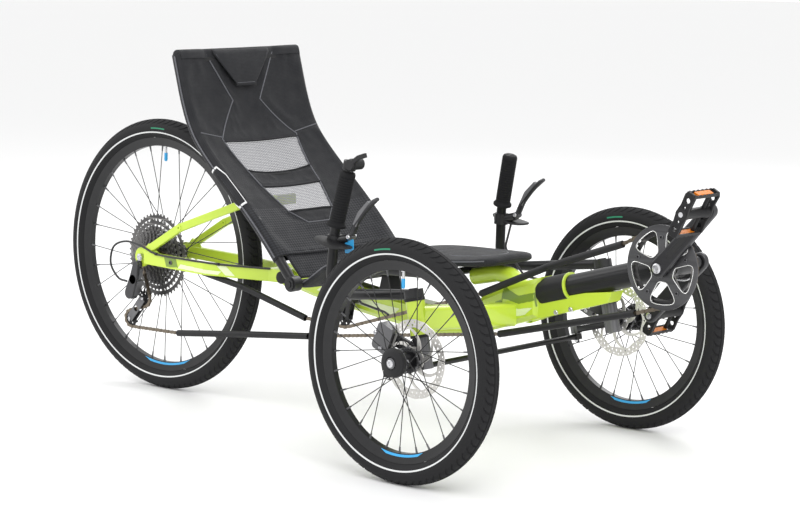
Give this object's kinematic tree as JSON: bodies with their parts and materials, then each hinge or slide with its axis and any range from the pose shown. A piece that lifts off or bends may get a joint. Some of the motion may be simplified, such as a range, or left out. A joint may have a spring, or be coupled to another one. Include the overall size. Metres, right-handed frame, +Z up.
{
  "type": "recumbent tricycle",
  "caption": "Recumbent adult tricycle with two steered, disc-braked front wheels, a mesh seat and a chain-driven, folding rear wheel.",
  "frame": {"origin": "on the floor, at the middle of the overall length and width", "axes": "+X points forward, +Y to the rider's left, +Z up"},
  "size_m": [1.9772, 0.8168, 0.8289],
  "materials": {
    "frame_paint": "gloss yellow-green powder coat",
    "black_paint": "satin black",
    "black_alloy": "black anodised",
    "bright_steel": "brushed",
    "rotor_steel": "ground, drilled",
    "chain_steel": "oiled",
    "cog_steel": "black treated",
    "tyre_rubber": "matte",
    "rim_alloy": "satin black",
    "spoke_steel": "black",
    "black_plastic": "moulded",
    "grip_rubber": "ribbed",
    "seat_fabric": "woven mesh",
    "cable_rubber": "smooth"
  },
  "bodies": {
    "frame": {"keel": "frame_paint", "cross_arms": "frame_paint", "seat_base_frame": "black_paint", "seat_base_cover": "seat_fabric", "idler_bracket": "black_paint", "fold_pin": "bright_steel", "chain_middle": "chain_steel"},
    "boom": {"boom": "black_paint", "chain_front": "chain_steel", "chain_tubes_front": "black_plastic"},
    "cranks": {"crank_right": "black_alloy", "crank_left": "black_alloy", "chainring": "black_alloy", "chain_guard": "black_alloy", "pedal_axles": "bright_steel"},
    "pedal_right": {"pedal_right": "black_plastic"},
    "pedal_left": {"pedal_left": "black_plastic"},
    "steering_right": {"knuckle_right": "black_alloy", "handlebar_right": "black_paint", "grip_right": "grip_rubber", "caliper_right": "black_alloy", "brake_hose_right": "cable_rubber", "shifter_body": "black_plastic"},
    "steering_left": {"knuckle_left": "black_alloy", "handlebar_left": "black_paint", "grip_left": "grip_rubber", "caliper_left": "black_alloy", "brake_hose_left": "cable_rubber"},
    "tie_rod": {"tie_rod": "black_paint"},
    "brake_lever_right": {"brake_lever_right": "black_alloy"},
    "brake_lever_left": {"brake_lever_left": "black_alloy"},
    "shifter_lever": {"shifter_lever": "black_plastic"},
    "wheel_front_right": {"tyre_front_right": "tyre_rubber", "rim_front_right": "rim_alloy", "spokes_front_right": "spoke_steel", "hub_front_right": "black_alloy", "rotor_right": "rotor_steel"},
    "wheel_front_left": {"tyre_front_left": "tyre_rubber", "rim_front_left": "rim_alloy", "spokes_front_left": "spoke_steel", "hub_front_left": "black_alloy", "rotor_left": "rotor_steel"},
    "rear_frame": {"rear_stays_right": "frame_paint", "rear_stays_left": "frame_paint", "rear_axle": "bright_steel", "chain_rear": "chain_steel", "chain_tubes_rear": "black_plastic", "derailleur_body": "black_alloy", "derailleur_cage": "black_alloy", "gear_cable": "cable_rubber"},
    "wheel_rear": {"tyre_rear": "tyre_rubber", "rim_rear": "rim_alloy", "spokes_rear": "spoke_steel", "hub_rear": "black_alloy"},
    "cassette": {"cassette": "cog_steel"},
    "guide_pulley": {"guide_pulley": "black_plastic"},
    "tension_pulley": {"tension_pulley": "black_plastic"},
    "idler_wheel": {"idler_wheel": "black_plastic"},
    "seat_back": {"seat_back_frame": "black_paint", "seat_back_cover": "seat_fabric"}
  },
  "joints": [
    {"name": "boom_slide", "type": "slide", "parent": "frame", "child": "boom", "axis": [0.9668, 0, 0.2554], "range_m": [0, 0.09]},
    {"name": "crank_spin", "type": "hinge", "parent": "boom", "child": "cranks", "pos_m": [0.84005, 0, 0.441], "axis": [0, 1, 0], "continuous": true},
    {"name": "pedal_right_spin", "type": "hinge", "parent": "cranks", "child": "pedal_right", "pos_m": [0.95815, -0.12, 0.56329], "axis": [0, 1, 0], "continuous": true},
    {"name": "pedal_left_spin", "type": "hinge", "parent": "cranks", "child": "pedal_left", "pos_m": [0.72196, 0.12, 0.31871], "axis": [0, 1, 0], "continuous": true},
    {"name": "steer_right", "type": "hinge", "parent": "frame", "child": "steering_right", "pos_m": [0.44105, -0.31, 0.247], "axis": [-0.2079, 0, 0.9781], "range_deg": [-22, 22]},
    {"name": "steer_left", "type": "hinge", "parent": "frame", "child": "steering_left", "pos_m": [0.44105, 0.31, 0.247], "axis": [-0.2079, 0, 0.9781], "range_deg": [-22, 22]},
    {"name": "tie_rod_pivot", "type": "hinge", "parent": "steering_right", "child": "tie_rod", "pos_m": [0.34605, -0.31, 0.203], "axis": [-0.2079, 0, 0.9781], "range_deg": [-22, 22]},
    {"name": "brake_lever_right_pull", "type": "hinge", "parent": "steering_right", "child": "brake_lever_right", "pos_m": [0.20505, -0.27, 0.466], "axis": [0, -1, 0], "range_deg": [0, 18], "stiffness_Nm_per_rad": 0.8},
    {"name": "brake_lever_left_pull", "type": "hinge", "parent": "steering_left", "child": "brake_lever_left", "pos_m": [0.20505, 0.27, 0.466], "axis": [0, -1, 0], "range_deg": [0, 18], "stiffness_Nm_per_rad": 0.8},
    {"name": "shifter_turn", "type": "hinge", "parent": "steering_right", "child": "shifter_lever", "pos_m": [0.21005, -0.2795, 0.616], "axis": [0, 1, 0], "range_deg": [-90, 30]},
    {"name": "wheel_front_right_spin", "type": "hinge", "parent": "steering_right", "child": "wheel_front_right", "pos_m": [0.44105, -0.3775, 0.247], "axis": [0, 1, 0], "continuous": true},
    {"name": "wheel_front_left_spin", "type": "hinge", "parent": "steering_left", "child": "wheel_front_left", "pos_m": [0.44105, 0.3775, 0.247], "axis": [0, 1, 0], "continuous": true},
    {"name": "rear_frame_fold", "type": "hinge", "parent": "frame", "child": "rear_frame", "pos_m": [-0.21295, 0, 0.317], "axis": [0, 1, 0], "range_deg": [0, 60]},
    {"name": "seat_back_fold", "type": "hinge", "parent": "frame", "child": "seat_back", "pos_m": [-0.04895, 0, 0.333], "axis": [0, 1, 0], "range_deg": [0, 80]},
    {"name": "wheel_rear_spin", "type": "hinge", "parent": "rear_frame", "child": "wheel_rear", "pos_m": [-0.66295, 0, 0.324], "axis": [0, 1, 0], "continuous": true},
    {"name": "cassette_spin", "type": "hinge", "parent": "rear_frame", "child": "cassette", "pos_m": [-0.66295, -0.045, 0.324], "axis": [0, 1, 0], "continuous": true},
    {"name": "guide_pulley_spin", "type": "hinge", "parent": "rear_frame", "child": "guide_pulley", "pos_m": [-0.67495, -0.0549, 0.222], "axis": [0, 1, 0], "continuous": true},
    {"name": "tension_pulley_spin", "type": "hinge", "parent": "rear_frame", "child": "tension_pulley", "pos_m": [-0.72195, -0.0549, 0.169], "axis": [0, 1, 0], "continuous": true},
    {"name": "idler_spin", "type": "hinge", "parent": "frame", "child": "idler_wheel", "pos_m": [-0.01695, -0.0535, 0.246], "axis": [0, 1, 0], "continuous": true}
  ],
  "couplings": [
    {"joint": "steer_left", "follows": "steer_right", "ratio": 1},
    {"joint": "tie_rod_pivot", "follows": "steer_right", "ratio": -1},
    {"joint": "seat_back_fold", "follows": "rear_frame_fold", "ratio": 1.3333},
    {"joint": "cassette_spin", "follows": "crank_spin", "ratio": 3.1667},
    {"joint": "guide_pulley_spin", "follows": "crank_spin", "ratio": -3.8448},
    {"joint": "tension_pulley_spin", "follows": "crank_spin", "ratio": 3.8448},
    {"joint": "idler_spin", "follows": "crank_spin", "ratio": -3.8448}
  ]
}
